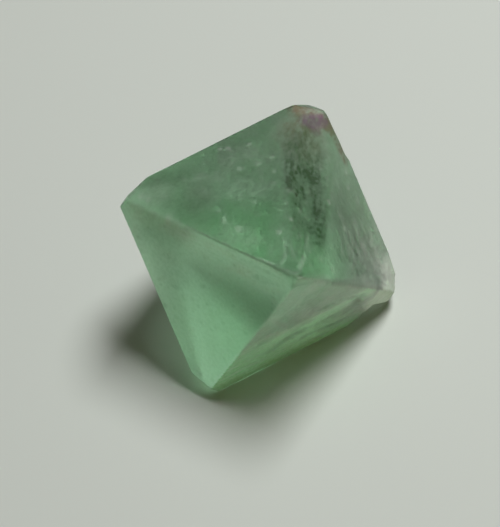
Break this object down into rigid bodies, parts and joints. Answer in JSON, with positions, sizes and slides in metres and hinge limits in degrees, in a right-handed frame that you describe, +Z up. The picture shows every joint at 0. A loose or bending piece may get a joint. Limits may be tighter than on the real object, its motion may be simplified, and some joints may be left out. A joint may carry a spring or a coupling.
{
  "type": "fluorite octahedron",
  "caption": "Pale green see-through fluorite crystal split into an octahedron, with worn edges, broken corners and a long shell-shaped chip, lying on a face.",
  "frame": {"origin": "centre of the bounding box's bottom, on the face the crystal rests on", "axes": "+Z up, square to the resting face; +Y towards the hidden low corner, -Y towards the front high corner; X along the front bottom edge"},
  "size_m": [0.018, 0.0202, 0.0147],
  "materials": {
    "fluorite": "clear pale green mineral, worn to a satin skin, frosted where it is broken"
  },
  "bodies": {
    "root": {"fluorite_octahedron": "fluorite"}
  },
  "joints": []
}
